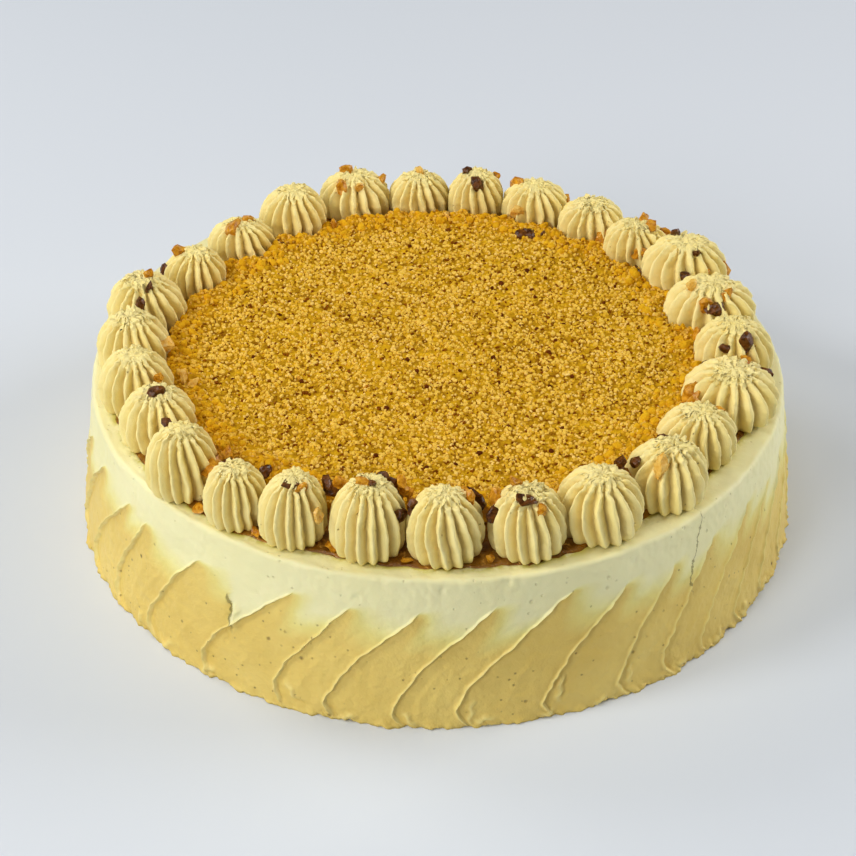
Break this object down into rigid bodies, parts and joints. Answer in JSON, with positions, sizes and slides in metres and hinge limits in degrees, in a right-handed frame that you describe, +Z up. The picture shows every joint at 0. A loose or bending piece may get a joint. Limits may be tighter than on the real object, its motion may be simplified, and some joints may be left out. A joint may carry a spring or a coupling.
{
  "type": "butterscotch cake",
  "caption": "Low round butterscotch cake in ivory and tan swiped icing, with a piped ring of ridged dollops, caramel and a crumb top",
  "frame": {"origin": "centre of the flat underside, on the cake's upright axis", "axes": "+Z up along the cake's axis; -Y is the side that faces the picture's camera; +X is the picture's right"},
  "size_m": [0.2191, 0.2188, 0.0691],
  "materials": {
    "ivory_icing": "smooth ivory buttercream, soft satin sheen, faint palette-knife marks",
    "tan_icing": "tan butterscotch buttercream swiped upwards, satin, thin raised ridges and feathered upper edge",
    "caramel": "glossy brown caramel with tiny bits in it",
    "butterscotch_crumb": "fine golden-brown butterscotch crumb, matte with small glints",
    "dollop_icing": "pale caramel buttercream with fine air pits and amber nut chips"
  },
  "bodies": {
    "root": {"iced_cake": "ivory_icing", "butterscotch_icing_band": "tan_icing", "caramel_layer": "caramel", "crumb_topping": "butterscotch_crumb", "dollop_01": "dollop_icing", "dollop_02": "dollop_icing", "dollop_03": "dollop_icing", "dollop_04": "dollop_icing", "dollop_05": "dollop_icing", "dollop_06": "dollop_icing", "dollop_07": "dollop_icing", "dollop_08": "dollop_icing", "dollop_09": "dollop_icing", "dollop_10": "dollop_icing", "dollop_11": "dollop_icing", "dollop_12": "dollop_icing", "dollop_13": "dollop_icing", "dollop_14": "dollop_icing", "dollop_15": "dollop_icing", "dollop_16": "dollop_icing", "dollop_17": "dollop_icing", "dollop_18": "dollop_icing", "dollop_19": "dollop_icing", "dollop_20": "dollop_icing", "dollop_21": "dollop_icing", "dollop_22": "dollop_icing", "dollop_23": "dollop_icing", "dollop_24": "dollop_icing", "dollop_25": "dollop_icing", "dollop_26": "dollop_icing"}
  },
  "joints": []
}
